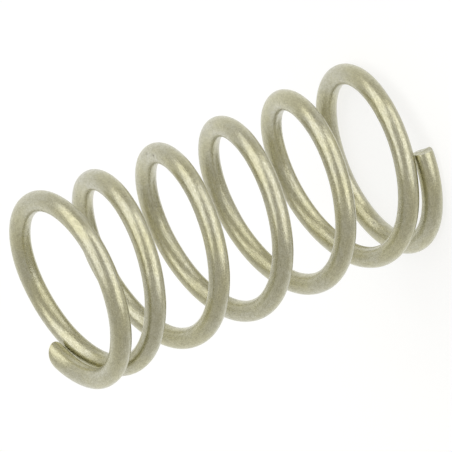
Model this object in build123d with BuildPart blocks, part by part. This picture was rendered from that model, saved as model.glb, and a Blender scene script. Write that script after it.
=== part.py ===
"""Small compression spring, cold-wound left-hand from one length of round wire.

The ends are closed but not ground: each end coil lies nearly flat until its tip rests on the
coil beside it, and the wire then climbs into the open coils. The spring stands on its lower
end coil on Z = 0, with its axis on the Z axis and its lower tip on the +X side. All sizes
are in millimetres, and stretches of wire are given in turns, counted from a tip.
"""
from build123d import *
from math import ceil, cos, pi, radians, sin, tan, tau
import os

os.makedirs("parts", exist_ok=True)

# ---- driving dimensions -------------------------------------------------------------------
wire_diameter = 1.0  # round wire
free_length = 18.5  # over both end coils, unloaded
total_turns = 6.375  # tip to tip, the two closed turns included
tip_clearance = 0.03  # between each tip and the coil that it closes on

body_mean_diameter = 8.46  # centre line of the open coils
lower_mean_diameter = 8.52  # centre line of the end coils, which spring out a little
upper_mean_diameter = 8.65

lower_flat_turns = 0.43  # wound at the small end lead, from the lower tip
lower_ramp_turns = 0.57  # over which the lead then grows to the open pitch
upper_flat_turns = 0.68  # the same two stretches at the upper end
upper_ramp_turns = 0.18

upper_cut_slant = 40.0  # degrees off square: the upper tip is longest on its inner side

ramp_points_per_turn = 18  # centre line points where the lead changes

# ---- sizes that follow --------------------------------------------------------------------
wire_radius = wire_diameter / 2
closed_rise = wire_diameter + tip_clearance  # of the first turn, which clears its neighbour
open_pitch = (free_length - wire_diameter - 2 * closed_rise) / (total_turns - 2)

# turns from the lower tip at which the wire passes from one stretch to the next
lower_ramp_start = lower_flat_turns
lower_ramp_end = lower_flat_turns + lower_ramp_turns
upper_ramp_start = total_turns - upper_flat_turns - upper_ramp_turns
upper_ramp_end = total_turns - upper_flat_turns
upper_tip_start = total_turns - upper_flat_turns / 2
upper_tip_end = total_turns + wire_diameter * tan(radians(upper_cut_slant)) / (pi * upper_mean_diameter)


def end_lead(flat_turns, ramp_turns):
    """Lead of a flat stretch, so that the first whole turn rises by closed_rise."""
    closed_turns = flat_turns + ramp_turns / 2
    return (closed_rise - open_pitch * (1 - closed_turns)) / closed_turns


lower_lead = end_lead(lower_flat_turns, lower_ramp_turns)
upper_lead = end_lead(upper_flat_turns, upper_ramp_turns)


# ---- the centre line ----------------------------------------------------------------------
def eased(share):
    """A share from 0 to 1 that starts and stops gently."""
    return share * share * (3 - 2 * share)


def eased_sum(share):
    """The area under eased() up to that share."""
    return share**3 - share**4 / 2


def ramp_share(turns, flat_turns, ramp_turns):
    """How much of the ramp is done, so many turns from a tip."""
    return min(max((turns - flat_turns) / ramp_turns, 0), 1)


def end_rise(turns, lead, flat_turns, ramp_turns):
    """How far the wire has climbed, so many turns from a tip."""
    ramp_gain = ramp_turns * eased_sum(ramp_share(turns, flat_turns, ramp_turns))
    open_gain = max(turns - flat_turns - ramp_turns, 0)
    return lead * turns + (open_pitch - lead) * (ramp_gain + open_gain)


def end_radius(turns, end_mean_diameter, flat_turns, ramp_turns):
    """Radius of the centre line, so many turns from a tip."""
    drawn_in = eased(ramp_share(turns, flat_turns, ramp_turns))
    return (end_mean_diameter + (body_mean_diameter - end_mean_diameter) * drawn_in) / 2


def centre_point(turns):
    """Point of the centre line, so many turns from the lower tip."""
    if turns < total_turns / 2:
        stretch = lower_flat_turns, lower_ramp_turns
        radius = end_radius(turns, lower_mean_diameter, *stretch)
        height = wire_radius + end_rise(turns, lower_lead, *stretch)
    else:
        turns_left = total_turns - turns
        stretch = upper_flat_turns, upper_ramp_turns
        radius = end_radius(turns_left, upper_mean_diameter, *stretch)
        height = free_length - wire_radius - end_rise(turns_left, upper_lead, *stretch)
    angle = -tau * turns
    return Vector(radius * cos(angle), radius * sin(angle), height)


def heading(turns, lead, mean_diameter):
    """Direction of a left-hand helix of that lead, so many turns from the lower tip."""
    angle = -tau * turns
    girth = pi * mean_diameter
    return Vector(girth * sin(angle), -girth * cos(angle), lead)


def helix_line(start, end, lead, mean_diameter):
    """Left-hand helix between two turns of the centre line."""
    base = (0, 0, centre_point(start).Z)
    coils = Helix(lead, lead * (end - start), mean_diameter / 2, base, lefthand=True)
    return coils.rotate(Axis.Z, -360 * start)


def ramp_line(start, end, helix_before, helix_after):
    """Curve between two helices, over which lead and radius pass from one to the other."""
    steps = ceil((end - start) * ramp_points_per_turn)
    points = [centre_point(start + (end - start) * i / steps) for i in range(steps + 1)]
    headings = (heading(start, *helix_before), heading(end, *helix_after))
    return Spline(*points, tangents=headings, tangent_scalars=(1, 1))


def square_plane(line):
    """Plane square to a line at its start, for the section that follows it."""
    return Plane(origin=line @ 0, z_dir=line % 0)


# ---- the wire, stretch by stretch, from the lower tip ---------------------------------------
lower_helix = (lower_lead, lower_mean_diameter)
open_helix = (open_pitch, body_mean_diameter)
upper_helix = (upper_lead, upper_mean_diameter)

stretches = [
    helix_line(0, lower_ramp_start, *lower_helix),
    ramp_line(lower_ramp_start, lower_ramp_end, lower_helix, open_helix),
    helix_line(lower_ramp_end, upper_ramp_start, *open_helix),
    ramp_line(upper_ramp_start, upper_ramp_end, open_helix, upper_helix),
    helix_line(upper_ramp_end, upper_tip_start, *upper_helix),
]
tip_line = helix_line(upper_tip_start, upper_tip_end, *upper_helix)

# ---- the upper tip, cut off on a slant -------------------------------------------------------
with BuildPart() as upper_tip:
    with BuildSketch(square_plane(tip_line)):
        Circle(wire_radius)
    sweep(path=tip_line, is_frenet=True)
    facing = radians(-360 * total_turns - 90 + upper_cut_slant)
    cut_face = Plane(centre_point(total_turns), z_dir=(cos(facing), sin(facing), 0))
    split(bisect_by=cut_face, keep=Keep.BOTTOM)

# ---- the spring --------------------------------------------------------------------------------
with BuildPart() as coil_spring:
    for line in stretches:
        with BuildSketch(square_plane(line)):
            Circle(wire_radius)
        sweep(path=line, is_frenet=True, clean=False)
    add(upper_tip.part, clean=False)

coil_spring.part.label = "coil_spring"
export_step(coil_spring.part, "parts/coil_spring.step")
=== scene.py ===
"""The small compression spring: its wire as a fine mesh, its drawn steel finish, a plain studio.

The spring stands on its lower end coil. The camera looks down on its upper end and is rolled
over, so that the coil lies across the picture.
"""
from math import cos, pi, radians, sin, tan

import bpy
import numpy as np
from mathutils import Matrix, Vector


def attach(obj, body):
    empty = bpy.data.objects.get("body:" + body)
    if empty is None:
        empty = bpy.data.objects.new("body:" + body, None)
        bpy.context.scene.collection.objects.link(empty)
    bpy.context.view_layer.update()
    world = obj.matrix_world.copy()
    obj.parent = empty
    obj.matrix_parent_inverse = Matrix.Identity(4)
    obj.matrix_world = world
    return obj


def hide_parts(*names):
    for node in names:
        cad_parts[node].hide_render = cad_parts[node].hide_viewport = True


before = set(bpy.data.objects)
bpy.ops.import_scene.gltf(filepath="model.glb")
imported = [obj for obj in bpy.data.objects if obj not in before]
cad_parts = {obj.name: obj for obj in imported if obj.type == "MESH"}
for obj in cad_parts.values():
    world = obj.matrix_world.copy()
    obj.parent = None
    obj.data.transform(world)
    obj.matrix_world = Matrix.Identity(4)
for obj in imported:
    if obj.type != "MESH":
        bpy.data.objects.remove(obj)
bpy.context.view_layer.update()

MM = 0.001

# ---- the wire, in millimetres and turns, with the CAD model's values ---------------------------
WIRE_DIAMETER = 1.0
BODY_DIAMETER = 8.46  # across the centre line, as are the next two
LOWER_DIAMETER = 8.52
UPPER_DIAMETER = 8.65
FREE_LENGTH = 18.5
TURNS = 6.375
TIP_CLEARANCE = 0.03
LOWER_STRETCH = (0.43, 0.57)  # turns at the end's own lead, then turns of ramp to the open pitch
UPPER_STRETCH = (0.68, 0.18)

WIRE_RADIUS = WIRE_DIAMETER / 2
CLOSED_RISE = WIRE_DIAMETER + TIP_CLEARANCE
OPEN_PITCH = (FREE_LENGTH - WIRE_DIAMETER - 2 * CLOSED_RISE) / (TURNS - 2)

# ---- the two cuts, in millimetres and degrees --------------------------------------------------
UPPER_CUT_SLANTS = (40, 8)  # off square, towards the outer side and towards the top
LOWER_CUT_SLANT = 9.0  # off square, towards the outer side
SLANT_REACH = 1.1  # length of wire over which the rings lean into the slant of a cut
TIP_REACH = 0.2  # how far the middle of the upper cut stands past the centre line's end
TIP_SPREAD = 0.12  # how far the upper tip has sprung outwards
SPREAD_REACH = 2.2  # length of wire that springs outwards
EDGE_ROLL = 0.018  # how far the edge of a cut is rolled over
LIP_SIDE = -100.0  # degrees round the wire, where the lower cut's lip stands
LIP_SPAN = 0.38  # half width of the lip, in radians round the wire
LIP_HEIGHT = 0.07
LIP_REACH = 0.30
FACE_BULGE = 0.012  # how far the middle of a cut stands out
RIDGE_HEIGHT = 0.012  # of the two broad ridges across a cut
TEAR_HEIGHT = 0.006  # of its random tears
TEAR_SEED = 7
CUT_WEAR = 0.12  # how dark the cut faces are

# ---- the mesh ----------------------------------------------------------------------------------
RINGS_PER_TURN = 168
SIDES = 44
CAP_RINGS = 7
SLOPE_STEP = 1e-4  # turns either side of a station, to measure the wire's heading

# slow unevenness of the drawn wire: height in mm, lobes round it, twist and beat in radians a mm
# along it, and the beat's phase
WAVES = [
    (0.0034, 3, 0.9, 0.53, 1.1),
    (0.0026, 5, -0.37, 0.31, 0.0),
]
RIPPLE = (0.0016, 2, 2.7, 0.5)  # height, lobes, twist and phase of a steady ripple
SINK = 0.0076  # keeps the highest waves inside the wire's true radius

# nicks and scuffs: turns from the lower tip, degrees round the wire from its outer side,
# half length and half width in mm, depth in mm (below nought stands proud), darkness
MARKS = [
    (3.742, 74, 0.10, 0.09, 0.040, 0.8),
    (3.775, 81, 0.07, 0.08, 0.050, 1.0),
    (1.687, 62, 0.05, 0.05, -0.060, 0.7),
    (6.194, 42, 0.09, 0.06, 0.030, 0.7),
    (0.953, 26, 0.16, 0.05, 0.022, 0.3),
    (2.020, 45, 0.13, 0.035, 0.025, 0.4),
    (2.032, 30, 0.09, 0.030, 0.020, 0.3),
    (0.355, 153, 0.12, 0.07, 0.035, 0.9),
    (0.385, 165, 0.08, 0.06, 0.030, 0.8),
    (1.389, 206, 0.20, 0.09, 0.025, 0.4),
    (4.850, 70, 0.22, 0.05, 0.018, 0.2),
]


def end_lead(flat, ramp):
    """Lead of an end's flat stretch, so that the first turn just clears its neighbour."""
    closed = flat + ramp / 2
    return (CLOSED_RISE - OPEN_PITCH * (1 - closed)) / closed


def end_shape(turns, diameter, flat, ramp):
    """Climb and radius of the centre line, so many turns from a tip."""
    lead = end_lead(flat, ramp)
    share = np.clip((turns - flat) / ramp, 0, 1)
    open_turns = np.maximum(turns - flat - ramp, 0)
    climb = lead * turns + (OPEN_PITCH - lead) * (ramp * (share**3 - share**4 / 2) + open_turns)
    eased = share * share * (3 - 2 * share)
    return climb, (diameter + (BODY_DIAMETER - diameter) * eased) / 2


def centre_line(turns):
    """Points of the left-hand centre line, so many turns from the lower tip."""
    low_climb, low_radius = end_shape(turns, LOWER_DIAMETER, *LOWER_STRETCH)
    up_climb, up_radius = end_shape(TURNS - turns, UPPER_DIAMETER, *UPPER_STRETCH)
    lower = turns < TURNS / 2
    radius = np.where(lower, low_radius, up_radius)
    height = np.where(lower, WIRE_RADIUS + low_climb, FREE_LENGTH - WIRE_RADIUS - up_climb)
    angle = -2 * pi * turns
    return np.stack([radius * np.cos(angle), radius * np.sin(angle), height], -1)


def unit(vectors):
    """The same directions, with a length of 1."""
    return vectors / np.linalg.norm(vectors, axis=-1, keepdims=True)


def wire_frames(turns):
    """Centre, heading, outward and sideways directions of the wire at each station."""
    centre = centre_line(turns)
    heading = unit(centre_line(turns + SLOPE_STEP) - centre_line(turns - SLOPE_STEP))
    radial = unit(centre * np.array([1, 1, 0]))
    outward = unit(radial - heading * np.sum(radial * heading, -1, keepdims=True))
    return centre, heading, outward, np.cross(heading, outward)


def turned_from(angle, side):
    """Radians from a side, given in degrees, the shorter way round the wire."""
    return np.angle(np.exp(1j * (angle - radians(side))))


def fading(distance, reach):
    """1 at a tip, falling evenly to 0 at the reach."""
    return np.clip(1 - distance / reach, 0, 1)


def surface_relief(length, angle, turns, mm_per_turn):
    """Height of the drawn surface off a true round wire in millimetres, and how dark it is."""
    relief = np.zeros((len(length), SIDES))
    for height, lobes, twist, beat, phase in WAVES:
        wave = np.sin(lobes * angle + twist * length)
        relief = relief + height * wave * np.sin(beat * length + phase)
    height, lobes, twist, phase = RIPPLE
    relief = relief + height * np.sin(lobes * angle + twist * length + phase) - SINK
    wear = np.zeros_like(relief)
    for at, side, half_length, half_width, depth, darkness in MARKS:
        along = (turns - at) * mm_per_turn / half_length
        around = turned_from(angle, side) * WIRE_RADIUS / half_width
        spot = np.exp(-(along**2) - around**2)
        relief = relief - depth * spot
        wear = wear + darkness * spot
    return relief, wear


def cut_slip(angle, to_lower, to_upper):
    """How far each point slides along the wire, to make the slants of the cuts and the lip."""
    slant_out, slant_up = (tan(radians(slant)) * WIRE_RADIUS for slant in UPPER_CUT_SLANTS)
    upper = TIP_REACH - slant_out * np.cos(angle) - slant_up * np.sin(angle)
    lower = tan(radians(LOWER_CUT_SLANT)) * WIRE_RADIUS * np.cos(angle)
    lip = LIP_HEIGHT * np.exp(-((turned_from(angle, LIP_SIDE) / LIP_SPAN) ** 2))
    slip = upper * fading(to_upper, SLANT_REACH) + lower * fading(to_lower, SLANT_REACH)
    return slip - lip * fading(to_lower, LIP_REACH) ** 2


def cap(rim, rim_straight, heading, way, rng):
    """Rings from a cut's rim in to its middle, with the ridges and tears of a sheared face."""
    middle, middle_straight = rim.mean(0), rim_straight.mean(0)
    shares = np.linspace(0, 1, CAP_RINGS + 2)[1:-1]
    angle = np.linspace(0, 2 * pi, SIDES, endpoint=False)
    torn = RIDGE_HEIGHT * np.sin(2 * angle + 1) + TEAR_HEIGHT * rng.standard_normal(SIDES)
    rings, flats = [], []
    for share in shares:
        bulge = way * FACE_BULGE * share + torn * share * (1 - share) * 4
        rings.append(rim + (middle - rim) * share + np.outer(bulge, heading))
        flats.append(rim_straight + (middle_straight - rim_straight) * share)
    return np.array(rings), np.array(flats)


def wire_mesh():
    """Rings of the whole wire, their places on the wire laid straight, and how dark they are."""
    turns = np.linspace(0, TURNS, int(TURNS * RINGS_PER_TURN) + 1)[:, None]
    angle = np.linspace(0, 2 * pi, SIDES, endpoint=False)[None, :]
    centre, heading, outward, sideways = wire_frames(turns[:, 0])
    steps = np.linalg.norm(np.diff(centre, axis=0), axis=1)
    length = np.concatenate([[0], np.cumsum(steps)])[:, None]
    to_lower, to_upper = length, length[-1] - length

    relief, wear = surface_relief(length, angle, turns, length[-1, 0] / TURNS)
    radius = WIRE_RADIUS + relief
    for to_tip in (to_lower, to_upper):
        radius = radius - EDGE_ROLL * fading(to_tip, 3 * EDGE_ROLL) ** 2
    slip = cut_slip(angle, to_lower, to_upper)

    centre = centre + outward * TIP_SPREAD * fading(to_upper, SPREAD_REACH) ** 2
    across = (outward[:, None] * np.cos(angle)[..., None]
              + sideways[:, None] * np.sin(angle)[..., None])
    points = centre[:, None] + across * radius[..., None] + heading[:, None] * slip[..., None]
    straight = np.stack([length + slip, radius * np.cos(angle), radius * np.sin(angle)], -1)

    rng = np.random.default_rng(TEAR_SEED)
    lower_cap, lower_flat = cap(points[0], straight[0], heading[0], -1, rng)
    upper_cap, upper_flat = cap(points[-1], straight[-1], heading[-1], 1, rng)
    points = np.concatenate([lower_cap[::-1], points, upper_cap])
    straight = np.concatenate([lower_flat[::-1], straight, upper_flat])
    cut = np.full((CAP_RINGS, SIDES), CUT_WEAR)
    return points, straight, np.concatenate([cut, wear, cut])


def ring_faces(count):
    """Quads between that many rings, and a closing face at each end."""
    faces = []
    for ring in range(count - 1):
        for side in range(SIDES):
            near = ring * SIDES + side
            far = ring * SIDES + (side + 1) % SIDES
            faces.append((near, near + SIDES, far + SIDES, far))
    faces.append(tuple(range(SIDES)))
    faces.append(tuple((count - 1) * SIDES + side for side in reversed(range(SIDES))))
    return faces


def sharpen_rims(mesh, *rims):
    """Keeps the shading apart on the two sides of each cut's edge."""
    for edge in mesh.edges:
        first, second = (vertex // SIDES for vertex in edge.vertices)
        edge.use_edge_sharp = first == second and first in rims


def add_attribute(mesh, name, kind, field, values):
    """Gives each vertex a value of its own, which the material reads."""
    attribute = mesh.attributes.new(name, kind, "POINT")
    attribute.data.foreach_set(field, values.reshape(-1).astype(np.float32))


def add_object(name, data):
    """Puts a new object in the scene."""
    thing = bpy.data.objects.new(name, data)
    bpy.context.scene.collection.objects.link(thing)
    return thing


def build_wire():
    """The wire as one closed mesh."""
    points, straight, wear = wire_mesh()
    mesh = bpy.data.meshes.new("spring_wire")
    mesh.from_pydata((points.reshape(-1, 3) * MM).tolist(), [], ring_faces(len(points)))
    mesh.validate()
    mesh.polygons.foreach_set("use_smooth", [True] * len(mesh.polygons))
    sharpen_rims(mesh, CAP_RINGS, len(points) - 1 - CAP_RINGS)
    add_attribute(mesh, "wear", "FLOAT", "value", wear)
    add_attribute(mesh, "wire_place", "FLOAT_VECTOR", "vector", straight)
    mesh.update()
    return add_object("spring_wire", mesh)


# ---- materials ---------------------------------------------------------------------------------
class Nodes:
    """Adds and links the nodes of one material or world."""

    def __init__(self, owner):
        owner.use_nodes = True
        self.tree = owner.node_tree
        self.tree.nodes.clear()

    def feed(self, socket, value):
        """Links the socket to another, or sets its value."""
        if isinstance(value, bpy.types.NodeSocket):
            self.tree.links.new(value, socket)
        else:
            socket.default_value = value

    def add(self, kind, inputs=None, **settings):
        """A new node with these settings and inputs."""
        node = self.tree.nodes.new(kind)
        for name, value in settings.items():
            setattr(node, name, value)
        for name, value in (inputs or {}).items():
            self.feed(node.inputs[name], value)
        return node

    def noise(self, place, stretch, scale, detail, roughness=0.6):
        """Noise in the straight wire's own millimetres, stretched along the wire."""
        scaled = self.add("ShaderNodeVectorMath", {0: place, 1: (1 / stretch, 1, 1)},
                          operation="MULTIPLY")
        return self.add("ShaderNodeTexNoise",
                        {"Vector": scaled.outputs[0], "Scale": scale, "Detail": detail,
                         "Roughness": roughness}).outputs[0]

    def span(self, value, low, high, to_low, to_high):
        """Maps one range of a value to another, and stops at its ends."""
        return self.add("ShaderNodeMapRange",
                        {"Value": value, "From Min": low, "From Max": high,
                         "To Min": to_low, "To Max": to_high}).outputs[0]

    def math(self, operation, first, second):
        """The sum or difference of two values."""
        return self.add("ShaderNodeMath", {0: first, 1: second}, operation=operation).outputs[0]

    def mix(self, share, first, second):
        """The first colour, with a share of the second."""
        node = self.add("ShaderNodeMix", data_type="RGBA")
        factor, one, other = node.inputs[0], node.inputs[6], node.inputs[7]
        self.feed(factor, share)
        self.feed(one, first)
        self.feed(other, second)
        return node.outputs[2]


OLIVE_STEEL = (0.685, 0.662, 0.455, 1)
GREY_STEEL = (0.665, 0.655, 0.530, 1)
DULL_STEEL = (0.46, 0.438, 0.29, 1)
BRIGHT_GRAIN = (0.80, 0.78, 0.60, 1)
FROST_SHADE = (0.38, 0.365, 0.26, 1)
PIT_SHADE = (0.22, 0.20, 0.13, 1)
DIRT = (0.10, 0.09, 0.06, 1)
BUMP_DEPTH = 0.03 * MM


def drawn_steel():
    """Drawn spring steel: olive grey, grain along the wire, mottled, with fine dark pits."""
    material = bpy.data.materials.new("drawn_steel")
    nodes = Nodes(material)
    place = nodes.add("ShaderNodeAttribute", attribute_name="wire_place").outputs["Vector"]
    wear = nodes.add("ShaderNodeAttribute", attribute_name="wear").outputs["Fac"]
    patches = nodes.noise(place, 2.0, 0.9, 3)
    mottle = nodes.noise(place, 1.8, 7.5, 4, roughness=0.75)
    grain = nodes.noise(place, 9.0, 22.0, 3)
    speckle = nodes.noise(place, 1.5, 17.0, 2)
    frost = nodes.noise(place, 1.4, 30.0, 1)
    pits = nodes.span(speckle, 0.66, 0.74, 0, 0.45)

    tone = nodes.mix(nodes.span(patches, 0.40, 0.60, 0, 1), OLIVE_STEEL, GREY_STEEL)
    tone = nodes.mix(nodes.span(mottle, 0.42, 0.64, 0, 0.62), tone, DULL_STEEL)
    tone = nodes.mix(nodes.span(grain, 0.48, 0.72, 0, 0.38), tone, BRIGHT_GRAIN)
    tone = nodes.mix(nodes.span(frost, 0.38, 0.62, 0.50, 0), tone, FROST_SHADE)
    tone = nodes.mix(pits, tone, PIT_SHADE)
    tone = nodes.mix(nodes.span(wear, 0.15, 0.9, 0, 0.85), tone, DIRT)

    height = nodes.math("SUBTRACT", nodes.math("ADD", grain, mottle), pits)
    bump = nodes.add("ShaderNodeBump",
                     {"Strength": 0.30, "Distance": BUMP_DEPTH, "Height": height})
    shader = nodes.add("ShaderNodeBsdfPrincipled",
                       {"Base Color": tone, "Metallic": 1.0,
                        "Roughness": nodes.span(mottle, 0.3, 0.7, 0.20, 0.29),
                        "Normal": bump.outputs[0]})
    nodes.add("ShaderNodeOutputMaterial", {"Surface": shader.outputs[0]})
    return material


# ---- the view ----------------------------------------------------------------------------------
VIEW_TURN = 7.2  # degrees round the spring from +X, where the camera stands
VIEW_RISE = 26.24  # degrees that it looks down
AXIS_RISE = 23.05  # degrees by which the coil's axis climbs to the right in the picture
DISTANCE = 577 * MM
PICTURE_WIDTH = 20.87 * MM  # across the middle of the spring
SENSOR_WIDTH = 36
AIM_RIGHT = 0.076 * MM  # picture's centre from the middle of the spring
AIM_DOWN = 0.114 * MM
MIDDLE = Vector((0, 0, FREE_LENGTH / 2 * MM))


def view_axes():
    """Right, up and back directions of the camera."""
    turn, rise, climb = radians(VIEW_TURN), radians(VIEW_RISE), radians(AXIS_RISE)
    toward = Vector((cos(turn), sin(turn), 0))
    side = Vector((sin(turn), -cos(turn), 0))
    right = side * sin(climb) + toward * sin(rise) * cos(climb)
    right.z = -cos(rise) * cos(climb)
    down = side * cos(climb) - toward * sin(rise) * sin(climb)
    down.z = cos(rise) * sin(climb)
    return right, -down, toward * cos(rise) + Vector((0, 0, sin(rise)))


RIGHT, UP, BACK = view_axes()


def standing_at(place, right, up, back):
    """Matrix of something at a place, whose X, Y and Z axes are those directions."""
    return Matrix.Translation(place) @ Matrix((right, up, back)).transposed().to_4x4()


def add_camera():
    """The camera, with a long lens as the photograph's flat perspective has it."""
    data = bpy.data.cameras.new("camera")
    data.sensor_width = SENSOR_WIDTH
    data.lens = SENSOR_WIDTH * DISTANCE / PICTURE_WIDTH
    data.clip_start = DISTANCE / 50
    data.clip_end = DISTANCE * 20
    camera = add_object("camera", data)
    aim = MIDDLE + RIGHT * AIM_RIGHT - UP * AIM_DOWN
    camera.matrix_world = standing_at(aim + BACK * DISTANCE, RIGHT, UP, BACK)
    bpy.context.scene.camera = camera


# ---- the studio --------------------------------------------------------------------------------
SOFTBOX_DISTANCE = 0.35
SOFTBOX_HEIGHT = 0.68
FLOOR_REACH = 3.0
FLOOR_COLOUR = (0.32, 0.32, 0.32, 1)
FLOOR_GLOW = 0.76
ROOM_COLOUR = (0.55, 0.535, 0.485, 1)
ROOM_EDGE = (-1.0, 0.1)  # cosines from the camera's side, between which the backdrop fades
WHITE = (1, 1, 1, 1)


def add_softbox(name, across, above, width, level):
    """An oblong lamp that faces the spring, so many degrees to the camera's right and above it.

    It is as bright all over as its level, where 1 shows as white.
    """
    data = bpy.data.lights.new(name, "AREA")
    data.shape = "RECTANGLE"
    data.size = width
    data.size_y = SOFTBOX_HEIGHT
    data.energy = level * pi * width * SOFTBOX_HEIGHT
    lamp = add_object(name, data)
    x, y = radians(across), radians(above)
    back = (RIGHT * sin(x) * cos(y) + UP * sin(y) + BACK * cos(x) * cos(y)).normalized()
    right = UP.cross(back).normalized()
    place = MIDDLE + back * SOFTBOX_DISTANCE
    lamp.matrix_world = standing_at(place, right, back.cross(right), back)


def add_floor():
    """A white floor that glows by itself for the most part, so that its shadow stays faint.

    The steel sees past it to the studio, whose lamps stand all round the tilted view.
    """
    material = bpy.data.materials.new("floor_white")
    nodes = Nodes(material)
    shader = nodes.add("ShaderNodeBsdfPrincipled",
                       {"Base Color": FLOOR_COLOUR, "Roughness": 1.0, "Specular IOR Level": 0.0,
                        "Emission Color": WHITE, "Emission Strength": FLOOR_GLOW})
    nodes.add("ShaderNodeOutputMaterial", {"Surface": shader.outputs[0]})
    mesh = bpy.data.meshes.new("floor")
    corners = [(x * FLOOR_REACH, y * FLOOR_REACH, 0)
               for x, y in ((-1, -1), (1, -1), (1, 1), (-1, 1))]
    mesh.from_pydata(corners, [], [(0, 1, 2, 3)])
    mesh.materials.append(material)
    floor = add_object("floor", mesh)
    floor.visible_glossy = False
    floor.visible_shadow = False


def add_world():
    """A white backdrop behind the spring and a dimmer, warmer room on the camera's side."""
    world = bpy.data.worlds.new("studio")
    nodes = Nodes(world)
    look = nodes.add("ShaderNodeTexCoord").outputs["Generated"]
    toward = nodes.add("ShaderNodeVectorMath", {0: look, 1: tuple(BACK)},
                       operation="DOT_PRODUCT").outputs["Value"]
    colour = nodes.mix(nodes.span(toward, *ROOM_EDGE, 0, 1), WHITE, ROOM_COLOUR)
    sky = nodes.add("ShaderNodeBackground", {"Color": colour, "Strength": 1.0})
    nodes.add("ShaderNodeOutputWorld", {"Surface": sky.outputs[0]})
    bpy.context.scene.world = world


# ---- the scene ---------------------------------------------------------------------------------
bpy.context.scene.view_settings.view_transform = "Standard"
wire = build_wire()
wire.data.materials.append(drawn_steel())
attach(wire, "root")
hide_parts("coil_spring")

add_camera()
add_world()
add_floor()
add_softbox("softbox_left", -53, 21, 0.39, 0.88)
add_softbox("softbox_right", 50, 22, 0.34, 0.89)
